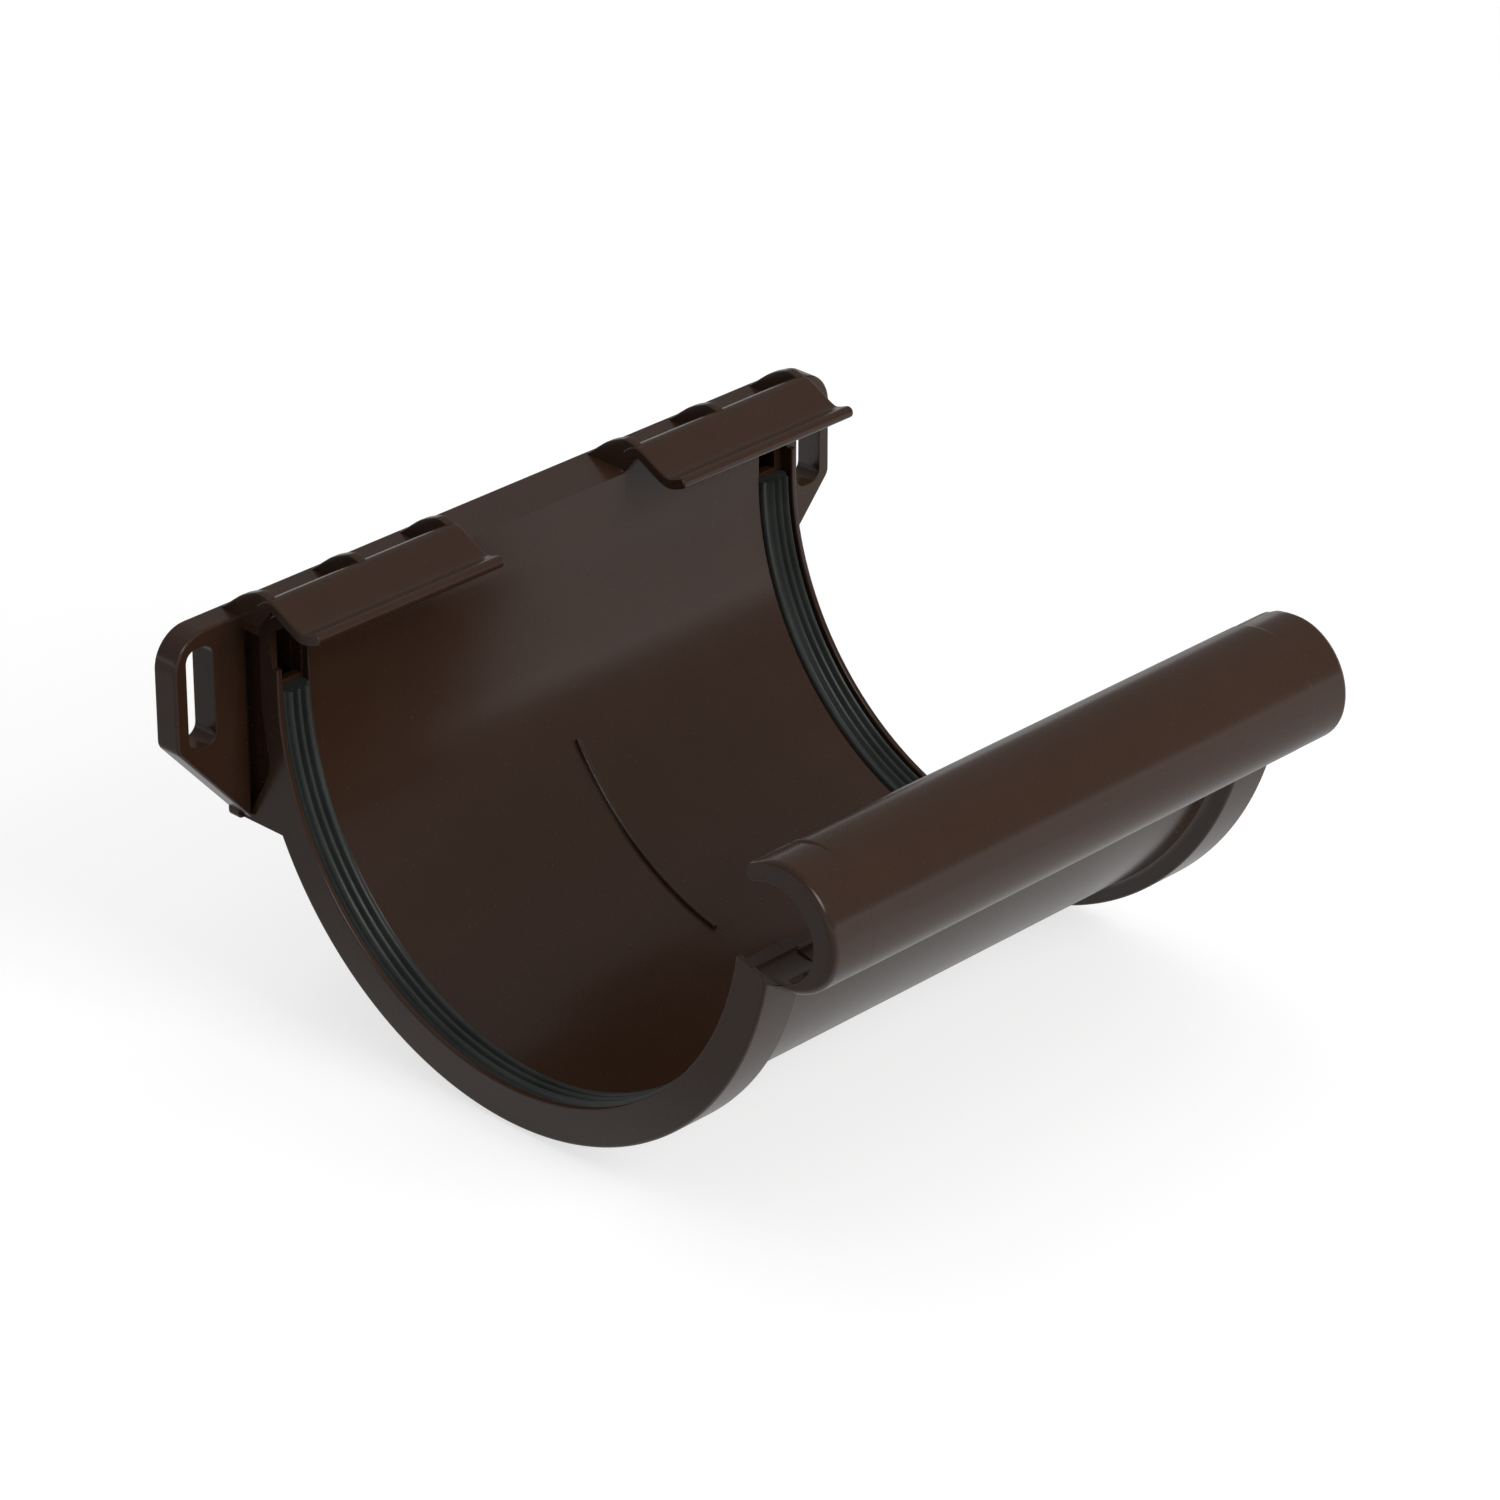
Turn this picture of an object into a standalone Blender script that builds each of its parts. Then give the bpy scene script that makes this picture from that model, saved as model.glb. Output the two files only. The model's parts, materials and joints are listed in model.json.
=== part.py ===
# Gutter union for a 125 mm half-round rainwater gutter, whose wall lies on the seals.
# One moulded body (trough, front bead hook, wall plate with two screw ears, two back clips)
# and two soft seals that lie in grooves near its ends.
# Metres, +Z up. X runs along the gutter, +Y points into the wall, the front bead is at -Y.
# The origin is the middle of the wall face, level with the trough's axis.

import math

import bmesh
import bpy
from mathutils import Matrix, Vector

# Trough
BODY_LENGTH = 0.1470
TROUGH_INNER_RADIUS = 0.0650
TROUGH_WALL = 0.0028
TROUGH_TOP = 0.0150
FRONT_WALL_DROP = 0.0103

# Room for the gutter inside the trough, over the seals and over the end lips
SEAL_STANDS_IN = 0.0025
LIP_STANDS_IN = 0.0015

# End bands, end lips and seal grooves
BAND_WIDTH = 0.0105
BAND_RISE = 0.0039
BACK_BAND_RISE = 0.0010
END_LIP = 0.0013
END_LIP_FRONT_DROP = 0.0107
GROOVE_WIDTH = 0.0082
GROOVE_DEPTH = 0.0020
GROOVE_FRONT_DROP = 0.0139

# Seals
SEAL_GAP = 0.0003
SEAL_FRONT_GAP = 0.00042
SEAL_RIBS = 3
SEAL_RIB_PITCH = 0.00225
SEAL_RIB_TIP = 0.0007
SEAL_RIB_CROWN = 0.0002
SEAL_VALLEY = 0.0016
SEAL_SHOULDER = 0.0004
SEAL_BACK_END = -0.0005

# Raised stop in the middle of the trough
STOP_WIDTH = 0.0010
STOP_HEIGHT = 0.0010
STOP_FROM_DEGREES = -31.7
STOP_TO_DEGREES = -76.5

# Front bead hook: its axis, then for its middle and for its end collars the outside as (radius,
# y and z from the hook's axis) and the bore as the same, with the angle where the bore starts
HOOK_AXIS_OUT = 0.0089
HOOK_AXIS_Z = -0.0003
HOOK_OUTSIDE = (0.0140, 0.0, 0.0)
HOOK_BORE = (0.0110, 0.0, 0.0, -66.0)
HOOK_END_OUTSIDE = (0.01325, -0.00055, 0.0003)
HOOK_END_BORE = (0.0096, 0.0017, -0.0006, -75.0)
HOOK_START_DEGREES = -50.0
HOOK_LIP_DEGREES = -301.0
HOOK_END_ROUND = 0.0013
HOOK_END_ROUND_FACETS = 3
HOOK_LIP_STEP_DEGREES = 15.0

# Point where the hook's root ends in the trough's front wall, from the wall's outer face and top
HOOK_ROOT = (0.0012, 0.0002)

# Wall plate, top plate and webs behind the trough
WALL_BEHIND_TROUGH = 0.0134
WALL_PLATE = 0.0032
TOP_PLATE = 0.0029
PLATE_OVERHANG = 0.0015
PLATE_DROP = 0.0318
PLATE_CORNER = 0.0012
WEB = 0.0022
WEB_PITCH = 0.0210
WEBS_EACH_SIDE = 2

# Free edge of the end web, as (y from the trough's inner wall, z)
WEB_EDGE = ((0.0014, -0.0110), (0.0021, -0.0155), (0.0024, -0.0188), (0.0040, -0.0222),
            (0.0070, -0.0272), (0.0095, -0.0312))

# Cut-back of the trough's top inner edge, under the clips
REBATE_FROM = 0.0244
REBATE_IN = 0.0017
REBATE_DEPTH = 0.0030
REBATE_TAPER = 0.0062
REBATE_RUN = 0.0047

# Screw ears
EAR_WIDTH = 0.0176
EAR_THICKNESS = 0.0063
EAR_CORNER = 0.0080
EAR_FOOT_CORNER = 0.0030
EAR_SIDE_HEIGHT = 0.0247
EAR_FOOT_HEIGHT = 0.0445
SLOT_EDGE = 0.00655
SLOT_DROP = 0.01445
SLOT_WIDTH = 0.0070
SLOT_HEIGHT = 0.0220
SLOT_CORNER = 0.0024

# Back clips; their curves are (y from the trough's inner wall, z from its top)
CLIP_FROM = 0.0253
CLIP_OVERHANG = 0.0020
CLIP_THICKNESS = 0.0025
CLIP_CURVE = ((-0.0150, 0.0021), (-0.0113, 0.0010), (-0.0078, 0.0023), (-0.0046, 0.0040),
              (-0.0018, 0.0049), (0.0009, 0.0032))
CLIP_RIB = 0.0020
CLIP_RIB_CURVE = ((0.0128, -0.0001), (0.0108, 0.0013), (0.0088, 0.0029), (0.0065, 0.0046),
                  (0.0038, 0.0060), (0.0010, 0.0069), (-0.0016, 0.0064))
CLIP_RIB_FOOT = ((-0.0028, 0.0045), (-0.0020, 0.0034))

# Roundness of the facets
ARC_STEP_DEGREES = 3.75
CURVE_POINTS = 3
CREASE_DEGREES = 30.0

# How far joined shapes reach into each other
JOIN = 0.0005

# Distances and angle that count as none when points and edges are matched
SAME_POINT = 0.000005
ON_END_FACE = 0.00001
ON_RIM = 0.0003
FLAT_DEGREES = 0.05

# Colours and roughness
BODY_COLOUR = (0.050, 0.026, 0.017, 1.0)
BODY_ROUGHNESS = 0.35
SEAL_COLOUR = (0.020, 0.030, 0.027, 1.0)
SEAL_ROUGHNESS = 0.45

HALF_LENGTH = BODY_LENGTH / 2
TROUGH_OUTER_RADIUS = TROUGH_INNER_RADIUS + TROUGH_WALL
LIP_RADIUS = TROUGH_INNER_RADIUS - LIP_STANDS_IN
SEAL_CREST_RADIUS = TROUGH_INNER_RADIUS - SEAL_STANDS_IN
BAND_RADIUS = TROUGH_OUTER_RADIUS + BAND_RISE
BACK_BAND_RADIUS = TROUGH_OUTER_RADIUS + BACK_BAND_RISE
BAND_START = HALF_LENGTH - BAND_WIDTH
GROOVE_RADIUS = TROUGH_INNER_RADIUS + GROOVE_DEPTH
GROOVE_END = HALF_LENGTH - END_LIP
GROOVE_START = GROOVE_END - GROOVE_WIDTH
HOOK_AXIS_Y = -TROUGH_INNER_RADIUS - HOOK_AXIS_OUT
WALL_OFFSET = TROUGH_INNER_RADIUS + WALL_BEHIND_TROUGH
PLATE_FRONT = WALL_OFFSET - WALL_PLATE
PLATE_HALF_LENGTH = HALF_LENGTH + PLATE_OVERHANG
PLATE_BOTTOM = -PLATE_DROP
TOP_PLATE_BOTTOM = TROUGH_TOP - TOP_PLATE
EAR_FRONT = WALL_OFFSET - EAR_THICKNESS
EAR_REACH = PLATE_HALF_LENGTH + EAR_WIDTH
CLIP_TO = HALF_LENGTH + CLIP_OVERHANG


def clear_scene():
    """Removes whatever the scene holds."""
    for obj in list(bpy.data.objects):
        bpy.data.objects.remove(obj, do_unlink=True)


def make_collection(name):
    """Adds a collection to the scene."""
    collection = bpy.data.collections.new(name)
    bpy.context.scene.collection.children.link(collection)
    return collection


def make_material(name, colour, roughness):
    """Makes a plain, non-metallic material."""
    material = bpy.data.materials.new(name)
    material.use_nodes = True
    shader = material.node_tree.nodes["Principled BSDF"]
    shader.inputs["Base Color"].default_value = colour
    shader.inputs["Roughness"].default_value = roughness
    shader.inputs["Metallic"].default_value = 0.0
    material.diffuse_color = colour
    return material


def arc(radius, start, end, centre=(0.0, 0.0), step=ARC_STEP_DEGREES):
    """Points on a circle from one angle to another, both in degrees."""
    count = max(2, math.ceil(abs(end - start) / step))
    angles = [math.radians(start + (end - start) * i / count) for i in range(count + 1)]
    return [(centre[0] + radius * math.cos(a), centre[1] + radius * math.sin(a)) for a in angles]


def angle_at_depth(radius, depth):
    """Angle, on the front side, where a circle round the trough's axis is this far down."""
    return math.degrees(math.asin(depth / radius)) - 180.0


def smooth_path(points):
    """Points along a smooth curve through the given points."""
    path = []
    last = len(points) - 1
    for i in range(last):
        before = points[max(i - 1, 0)]
        after = points[min(i + 2, last)]
        for k in range(CURVE_POINTS):
            t = k / CURVE_POINTS
            path.append(tuple(spline_value(before[n], points[i][n], points[i + 1][n], after[n], t)
                              for n in range(2)))
    path.append(points[last])
    return path


def spline_value(a, b, c, d, t):
    """Value between b and c, at t, of a curve that passes through all four."""
    return 0.5 * (2 * b + (c - a) * t + (2 * a - 5 * b + 4 * c - d) * t ** 2
                  + (3 * b - a - 3 * c + d) * t ** 3)


def ribbon(path, thickness):
    """Closed outline of an even strip along a path, with a round first end."""
    left = []
    right = []
    for i, point in enumerate(path):
        along = Vector(path[min(i + 1, len(path) - 1)]) - Vector(path[max(i - 1, 0)])
        across = Vector((-along.y, along.x)).normalized() * (thickness / 2)
        left.append(tuple(Vector(point) + across))
        right.append(tuple(Vector(point) - across))
    first = Vector(path[1]) - Vector(path[0])
    heading = math.degrees(math.atan2(first.y, first.x))
    tip = arc(thickness / 2, heading + 90.0, heading + 270.0, path[0])
    return tip + right[1:] + left[:0:-1]


def rounded_outline(corners):
    """Outline through corners given as (x, z, radius), each rounded by its radius."""
    outline = []
    for i, (x, z, radius) in enumerate(corners):
        here = Vector((x, z))
        before = Vector(corners[i - 1][:2]) - here
        after = Vector(corners[(i + 1) % len(corners)][:2]) - here
        if radius <= 0.0:
            outline.append((x, z))
            continue
        half_angle = before.angle(after) / 2
        bisector = (before.normalized() + after.normalized()).normalized()
        centre = here + bisector * (radius / math.sin(half_angle))
        start = here + before.normalized() * (radius / math.tan(half_angle)) - centre
        end = here + after.normalized() * (radius / math.tan(half_angle)) - centre
        turn = -math.degrees(start.angle_signed(end))
        first = math.degrees(math.atan2(start.y, start.x))
        outline.extend(arc(radius, first, first + turn, tuple(centre)))
    return outline


def prism(name, outline, thickness, placement, collection):
    """Flat outline given a thickness, made into a closed mesh and put in place."""
    curve = bpy.data.curves.new(name, "CURVE")
    curve.dimensions = "2D"
    curve.fill_mode = "BOTH"
    curve.extrude = thickness / 2
    spline = curve.splines.new("POLY")
    spline.points.add(len(outline) - 1)
    for point, (u, v) in zip(spline.points, outline):
        point.co = (u, v, 0.0, 1.0)
    spline.use_cyclic_u = True
    source = bpy.data.objects.new(name + "_curve", curve)
    collection.objects.link(source)
    evaluated = source.evaluated_get(bpy.context.evaluated_depsgraph_get())
    mesh = bpy.data.meshes.new_from_object(evaluated)
    bpy.data.objects.remove(source, do_unlink=True)
    mesh.name = name
    shape = bmesh.new()
    shape.from_mesh(mesh)
    bmesh.ops.remove_doubles(shape, verts=shape.verts, dist=SAME_POINT)
    bmesh.ops.dissolve_limit(shape, angle_limit=math.radians(FLAT_DEGREES), verts=shape.verts,
                             edges=shape.edges)
    bmesh.ops.transform(shape, matrix=placement, verts=shape.verts)
    bmesh.ops.recalc_face_normals(shape, faces=shape.faces)
    shape.to_mesh(mesh)
    shape.free()
    obj = bpy.data.objects.new(name, mesh)
    collection.objects.link(obj)
    return obj


def section_prism(name, outline, x_from, x_to, collection):
    """Solid with a (y, z) outline, from one station along the gutter to another."""
    placement = Matrix(((0, 0, 1, (x_from + x_to) / 2), (1, 0, 0, 0), (0, 1, 0, 0), (0, 0, 0, 1)))
    return prism(name, outline, abs(x_to - x_from), placement, collection)


def plate_prism(name, outline, y_from, y_to, collection):
    """Solid with an (x, z) outline, from one distance towards the wall to another."""
    placement = Matrix(((1, 0, 0, 0), (0, 0, -1, (y_from + y_to) / 2), (0, 1, 0, 0), (0, 0, 0, 1)))
    return prism(name, outline, abs(y_to - y_from), placement, collection)


def mirrored(outline):
    """The same outline on the other side of the middle plane."""
    return [(-x, z) for x, z in reversed(outline)]


def apply_steps(target, steps):
    """Joins each step's tool to the target, or cuts it away."""
    for operation, tool in steps:
        modifier = target.modifiers.new(f"{operation.lower()} {tool.name}", "BOOLEAN")
        modifier.operation = operation
        modifier.solver = "EXACT"
        modifier.object = tool
        tool.hide_render = True
        tool.display_type = "WIRE"


def ring_outline(inner, outer, top, drop_inner, drop_outer):
    """Trough section: half ring with a straight back up to the given height."""
    inner_end = angle_at_depth(inner, drop_inner)
    outer_end = angle_at_depth(outer, drop_outer)
    return ([(outer, top), (inner, top)] + arc(inner, 0.0, inner_end)
            + arc(outer, outer_end, 0.0))


def from_hook_axis(y, z):
    """Point measured from the hook's axis, in the trough's axes."""
    return HOOK_AXIS_Y + y, HOOK_AXIS_Z + z


def hook_outline(outside, bore):
    """Section of the hook that grips the gutter's front bead, with a round lip."""
    radius, y, z = outside
    bore_radius, bore_y, bore_z, bore_start = bore
    bore_axis = from_hook_axis(bore_y, bore_z)
    outer_arc = arc(radius, HOOK_START_DEGREES, HOOK_LIP_DEGREES, from_hook_axis(y, z))
    bore_arc = arc(bore_radius, HOOK_LIP_DEGREES, bore_start, bore_axis)
    lip_centre = (Vector(outer_arc[-1]) + Vector(bore_arc[0])) / 2
    across = Vector(outer_arc[-1]) - lip_centre
    heading = math.degrees(math.atan2(across.y, across.x))
    lip = arc(across.length, heading, heading - 180.0, tuple(lip_centre), HOOK_LIP_STEP_DEGREES)
    root = (-TROUGH_OUTER_RADIUS + HOOK_ROOT[0], -FRONT_WALL_DROP + HOOK_ROOT[1])
    return outer_arc + lip[1:-1] + bore_arc + [root]


def round_end_edges(obj, x_end, outside):
    """Rounds the hook's outer edge at its end face."""
    shape = bmesh.new()
    shape.from_mesh(obj.data)
    radius, y, z = outside
    centre = Vector(from_hook_axis(y, z))
    edges = []
    for edge in shape.edges:
        ends = [v.co for v in edge.verts]
        on_face = all(abs(co.x - x_end) < ON_END_FACE for co in ends)
        on_rim = all((Vector((co.y, co.z)) - centre).length > radius - ON_RIM for co in ends)
        outside = all(co.y < HOOK_AXIS_Y + radius / 2 for co in ends)
        if on_face and on_rim and outside:
            edges.append(edge)
    bmesh.ops.bevel(shape, geom=edges, offset=HOOK_END_ROUND, offset_type="OFFSET",
                    segments=HOOK_END_ROUND_FACETS, profile=0.5, affect="EDGES", clamp_overlap=True)
    shape.to_mesh(obj.data)
    shape.free()


def band_outline():
    """Section of an end band: full radius below, stepped in behind the back wall."""
    inner = TROUGH_INNER_RADIUS + JOIN
    front_end = angle_at_depth(BAND_RADIUS, HOOK_OUTSIDE[0])
    step = math.degrees(math.asin(WEB_EDGE[2][1] / BACK_BAND_RADIUS))
    return ([(BACK_BAND_RADIUS, TROUGH_TOP - JOIN), (inner, TROUGH_TOP - JOIN)]
            + arc(inner, 0.0, front_end) + arc(BAND_RADIUS, front_end, step)
            + arc(BACK_BAND_RADIUS, step, 0.0))


def end_lip_outline():
    """Section of the thin lip that closes the seal groove at the end face."""
    return ring_outline(LIP_RADIUS, GROOVE_RADIUS + JOIN, TROUGH_TOP - JOIN, END_LIP_FRONT_DROP,
                        END_LIP_FRONT_DROP)


def groove_outline():
    """Section of the seal groove, open towards the gutter."""
    inner = TROUGH_INNER_RADIUS - 2 * JOIN
    front_end = angle_at_depth(GROOVE_RADIUS, GROOVE_FRONT_DROP)
    top = TOP_PLATE_BOTTOM
    return ([(GROOVE_RADIUS, top), (inner, top)] + arc(inner, 0.0, front_end)
            + arc(GROOVE_RADIUS, front_end, 0.0))


def web_outline():
    """Web that fills the space between the trough and the wall plate."""
    ring = TROUGH_OUTER_RADIUS - 2 * JOIN
    bottom = math.degrees(math.asin(PLATE_BOTTOM / ring))
    plate = PLATE_FRONT + JOIN
    top = TOP_PLATE_BOTTOM + JOIN
    return [(ring, top)] + arc(ring, 0.0, bottom) + [(plate, PLATE_BOTTOM), (plate, top)]


def end_web_outline():
    """Web at the end face, under the open pocket behind the band."""
    ring = TROUGH_OUTER_RADIUS - 2 * JOIN
    edge = [(TROUGH_INNER_RADIUS + y, z) for y, z in WEB_EDGE]
    start = math.degrees(math.asin(edge[0][1] / ring))
    bottom = math.degrees(math.asin(PLATE_BOTTOM / ring))
    plate = PLATE_FRONT + JOIN
    return (arc(ring, start, bottom) + [(plate, PLATE_BOTTOM), (plate, edge[-1][1])]
            + smooth_path(edge)[::-1])


def band_steps(tools):
    """End bands, their thin lips and the webs at the end faces."""
    steps = []
    for side in (-1, 1):
        end = side * HALF_LENGTH
        steps += [
            ("UNION", section_prism(f"band_{side}", band_outline(), side * BAND_START, end, tools)),
            ("UNION", section_prism(f"end_lip_{side}", end_lip_outline(), side * GROOVE_END, end,
                                    tools)),
            ("UNION", section_prism(f"end_web_{side}", end_web_outline(), end - side * WEB, end,
                                    tools)),
        ]
    return steps


def hook_steps(tools):
    """Front bead hook: a long middle and a stepped-in collar at each end."""
    middle = section_prism("hook", hook_outline(HOOK_OUTSIDE, HOOK_BORE), -BAND_START, BAND_START,
                           tools)
    steps = [("UNION", middle)]
    for side in (-1, 1):
        outline = hook_outline(HOOK_END_OUTSIDE, HOOK_END_BORE)
        collar = section_prism(f"hook_collar_{side}", outline, side * (BAND_START - JOIN),
                               side * HALF_LENGTH, tools)
        round_end_edges(collar, side * HALF_LENGTH, HOOK_END_OUTSIDE)
        steps.append(("UNION", collar))
    return steps


def wall_plate_steps(tools):
    """Wall plate, the flat strip on top and the webs between them and the trough."""
    plate = rounded_outline([(-PLATE_HALF_LENGTH, PLATE_BOTTOM, PLATE_CORNER),
                             (PLATE_HALF_LENGTH, PLATE_BOTTOM, PLATE_CORNER),
                             (PLATE_HALF_LENGTH, TROUGH_TOP, 0.0),
                             (-PLATE_HALF_LENGTH, TROUGH_TOP, 0.0)])
    strip_front = TROUGH_OUTER_RADIUS - 2 * JOIN
    strip = [(strip_front, TOP_PLATE_BOTTOM), (WALL_OFFSET, TOP_PLATE_BOTTOM),
             (WALL_OFFSET, TROUGH_TOP), (strip_front, TROUGH_TOP)]
    steps = [
        ("UNION", plate_prism("wall_plate", plate, PLATE_FRONT, WALL_OFFSET, tools)),
        ("UNION", section_prism("top_strip", strip, -PLATE_HALF_LENGTH, PLATE_HALF_LENGTH, tools)),
    ]
    closing = BAND_START + JOIN
    inner = [WEB_PITCH * count for count in range(-WEBS_EACH_SIDE, WEBS_EACH_SIDE + 1)]
    for index, x in enumerate([-closing, *inner, closing]):
        web = section_prism(f"web_{index}", web_outline(), x - WEB / 2, x + WEB / 2, tools)
        steps.append(("UNION", web))
    return steps


def ear_outline():
    """Outline of the ear at the +X end, seen from the front."""
    root = PLATE_HALF_LENGTH - 2 * JOIN
    foot = TROUGH_TOP - EAR_FOOT_HEIGHT
    return rounded_outline([(root, TROUGH_TOP, 0.0), (root, foot - 2 * JOIN, 0.0),
                            (PLATE_HALF_LENGTH, foot, 0.0),
                            (EAR_REACH, TROUGH_TOP - EAR_SIDE_HEIGHT, EAR_FOOT_CORNER),
                            (EAR_REACH, TROUGH_TOP, EAR_CORNER)])


def slot_outline():
    """Outline of the ear's upright screw slot, at the +X end."""
    left = EAR_REACH - SLOT_EDGE - SLOT_WIDTH / 2
    right = left + SLOT_WIDTH
    top = TROUGH_TOP - SLOT_DROP + SLOT_HEIGHT / 2
    bottom = top - SLOT_HEIGHT
    return rounded_outline([(left, bottom, SLOT_CORNER), (right, bottom, SLOT_CORNER),
                            (right, top, SLOT_CORNER), (left, top, SLOT_CORNER)])


def ear_steps(tools):
    """Screw ears at both ends of the wall plate."""
    shapes = {1: (ear_outline(), slot_outline()),
              -1: (mirrored(ear_outline()), mirrored(slot_outline()))}
    steps = []
    for side, (ear, slot) in shapes.items():
        steps += [
            ("UNION", plate_prism(f"ear_{side}", ear, EAR_FRONT, WALL_OFFSET, tools)),
            ("DIFFERENCE", plate_prism(f"slot_{side}", slot, EAR_FRONT - 2 * JOIN,
                                       WALL_OFFSET + 2 * JOIN, tools)),
        ]
    return steps


def on_back_wall(points):
    """Points measured from the top of the trough's inner wall, in the trough's axes."""
    return [(TROUGH_INNER_RADIUS + y, TROUGH_TOP + z) for y, z in points]


def clip_rib_outline():
    """Side view of a rib that carries a clip, from the strip up to the clip's back."""
    crest = smooth_path(on_back_wall(CLIP_RIB_CURVE))
    base = TROUGH_TOP - 2 * JOIN
    return (crest + on_back_wall(CLIP_RIB_FOOT)
            + [(TROUGH_INNER_RADIUS + REBATE_IN, base), (crest[0][0], base)])


def clip_steps(tools):
    """Two springy back clips, each an arched strip on three ribs."""
    strip = ribbon(smooth_path(on_back_wall(CLIP_CURVE)), CLIP_THICKNESS)
    middle = (CLIP_FROM + CLIP_TO) / 2
    stations = (CLIP_FROM + CLIP_RIB / 2, middle, CLIP_TO - CLIP_RIB / 2)
    steps = []
    for side in (-1, 1):
        clip = section_prism(f"clip_{side}", strip, side * CLIP_FROM, side * CLIP_TO, tools)
        steps.append(("UNION", clip))
        for index, x in enumerate(stations):
            rib = section_prism(f"clip_rib_{side}_{index}", clip_rib_outline(),
                                side * x - CLIP_RIB / 2, side * x + CLIP_RIB / 2, tools)
            steps.append(("UNION", rib))
    return steps


def stop_steps(tools):
    """Low raised stop across the trough, halfway along."""
    inner = TROUGH_INNER_RADIUS - STOP_HEIGHT
    outline = (arc(inner, STOP_FROM_DEGREES, STOP_TO_DEGREES)
               + arc(TROUGH_INNER_RADIUS + JOIN, STOP_TO_DEGREES, STOP_FROM_DEGREES))
    return [("UNION", section_prism("stop", outline, -STOP_WIDTH / 2, STOP_WIDTH / 2, tools))]


def groove_steps(tools):
    """Seal grooves, and the cut-back of the top inner edge under the clips."""
    face = TROUGH_INNER_RADIUS + REBATE_IN
    shoulder = TROUGH_TOP - REBATE_DEPTH
    rebate = [(face - REBATE_RUN, shoulder - REBATE_TAPER), (face, shoulder),
              (face, TROUGH_TOP + JOIN), (face - REBATE_RUN, TROUGH_TOP + JOIN)]
    steps = []
    for side in (-1, 1):
        steps += [
            ("DIFFERENCE", section_prism(f"groove_{side}", groove_outline(), side * GROOVE_START,
                                         side * GROOVE_END, tools)),
            ("DIFFERENCE", section_prism(f"rebate_{side}", rebate, side * REBATE_FROM,
                                         side * (HALF_LENGTH + JOIN), tools)),
        ]
    return steps


def build_body(parts, tools, material):
    """The moulded body, one solid."""
    outline = ring_outline(TROUGH_INNER_RADIUS, TROUGH_OUTER_RADIUS, TROUGH_TOP,
                           FRONT_WALL_DROP, FRONT_WALL_DROP)
    body = section_prism("union_body", outline, -HALF_LENGTH, HALF_LENGTH, parts)
    steps = []
    for sub_part in (band_steps, wall_plate_steps, ear_steps, hook_steps, groove_steps, stop_steps,
                     clip_steps):
        steps += sub_part(tools)
    apply_steps(body, steps)
    body.data.materials.append(material)
    return body


def seal_profile():
    """Closed (x, radius) profile of a seal, with round ribs towards the gutter."""
    low = GROOVE_START + SEAL_GAP
    high = GROOVE_END - SEAL_GAP
    base = GROOVE_RADIUS - SEAL_GAP
    crest = SEAL_CREST_RADIUS
    valley = crest + SEAL_VALLEY
    shoulder = valley + SEAL_SHOULDER
    middle = (low + high) / 2
    profile = [(high, base), (low, base), (low, shoulder)]
    for index in range(SEAL_RIBS):
        x = middle + (index - (SEAL_RIBS - 1) / 2) * SEAL_RIB_PITCH
        if index:
            profile.append((x - SEAL_RIB_PITCH / 2, valley))
        profile.append((x - SEAL_RIB_TIP / 2, crest + SEAL_RIB_CROWN))
        profile.append((x, crest))
        profile.append((x + SEAL_RIB_TIP / 2, crest + SEAL_RIB_CROWN))
    profile.append((high, shoulder))
    return profile


def build_seal(name, side, parts, material):
    """Soft seal: its profile turned round the trough's axis through the half circle."""
    shape = bmesh.new()
    start = math.asin(SEAL_BACK_END / SEAL_CREST_RADIUS)
    end = math.radians(angle_at_depth(GROOVE_RADIUS, GROOVE_FRONT_DROP + SEAL_FRONT_GAP))
    corners = []
    for x, radius in seal_profile():
        place = (side * x, radius * math.cos(start), radius * math.sin(start))
        corners.append(shape.verts.new(place))
    face = shape.faces.new(corners)
    steps = math.ceil(math.degrees(start - end) / ARC_STEP_DEGREES)
    bmesh.ops.spin(shape, geom=[face] + list(face.edges) + list(face.verts), cent=(0, 0, 0),
                   axis=(1, 0, 0), angle=end - start, steps=steps, use_duplicate=False)
    bmesh.ops.recalc_face_normals(shape, faces=shape.faces)
    mesh = bpy.data.meshes.new(name)
    shape.to_mesh(mesh)
    shape.free()
    mesh.materials.append(material)
    obj = bpy.data.objects.new(name, mesh)
    parts.objects.link(obj)
    return obj


def shade(obj):
    """Smooth shading with crisp edges."""
    obj.data.shade_smooth()
    obj.data.set_sharp_from_angle(angle=math.radians(CREASE_DEGREES))


def main():
    """Builds the union and hangs its parts on the trough's axis."""
    clear_scene()
    parts = make_collection("gutter_union")
    tools = make_collection("gutter_union_tools")
    plastic = make_material("brown_plastic", BODY_COLOUR, BODY_ROUGHNESS)
    rubber = make_material("seal_rubber", SEAL_COLOUR, SEAL_ROUGHNESS)
    axis = bpy.data.objects.new("trough_axis", None)
    axis.location = (0.0, -WALL_OFFSET, 0.0)
    parts.objects.link(axis)
    body = build_body(parts, tools, plastic)
    seal_left = build_seal("seal_left", -1, parts, rubber)
    seal_right = build_seal("seal_right", 1, parts, rubber)
    for obj in (body, seal_left, seal_right):
        shade(obj)
        obj.parent = axis
    for tool in tools.objects:
        tool.parent = axis
    bpy.context.view_layer.update()


main()
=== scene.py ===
"""Gutter union for half-round gutters, dressed and lit for rendering.

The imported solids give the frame. The moulded body and its two seals are built again here at a finer
roundness, with rounded edges, and stand for the solids they replace. Sizes are in millimetres and
turn into metres where a mesh is made. X runs along the gutter, +Y points into the wall, +Z is up;
section sizes are measured from the trough's axis.
"""

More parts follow.
